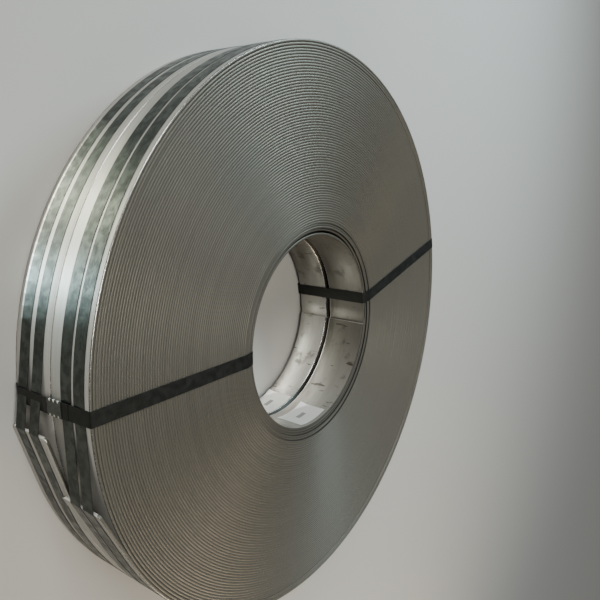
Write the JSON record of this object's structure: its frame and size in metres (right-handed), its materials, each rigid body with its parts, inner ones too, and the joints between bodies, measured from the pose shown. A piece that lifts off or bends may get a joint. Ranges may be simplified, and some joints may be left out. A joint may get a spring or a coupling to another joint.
{
  "type": "slit steel coil pair",
  "caption": "Slit coils of thick hot-rolled steel strip, side by side on one axis, with round straps over their tails and eye straps through the bore. Stored on its back end, as it would roll on edge.",
  "frame": {"origin": "on the floor, under the middle of the whole, tails and straps included", "axes": "+Z along the coils' axis, from the back coil to the front coil; +Y is the side that is uppermost when the pair stands on edge; +X to the right, seen from the front with +Y upwards; the sprung tails are on the -X side"},
  "size_m": [1.4526, 1.434, 0.2392],
  "materials": {
    "strip_steel": "dull mill finish on the slit edges, pale satin on the strip's face",
    "strap_steel": "black waxed steel strapping, glossy",
    "seal_steel": "dark seal with bright crimps",
    "label_paper": "matte white paper"
  },
  "bodies": {
    "root": {"front_coil": "strip_steel", "back_coil": "strip_steel", "front_outer_strap": "strap_steel", "front_inner_strap": "strap_steel", "back_inner_strap": "strap_steel", "back_outer_strap": "strap_steel", "left_eye_strap": "strap_steel", "right_eye_strap": "strap_steel", "front_outer_seal": "seal_steel", "front_inner_seal": "seal_steel", "back_inner_seal": "seal_steel", "back_outer_seal": "seal_steel", "left_eye_seal": "seal_steel", "right_eye_seal": "seal_steel", "front_label": "label_paper", "back_label": "label_paper"}
  },
  "joints": []
}
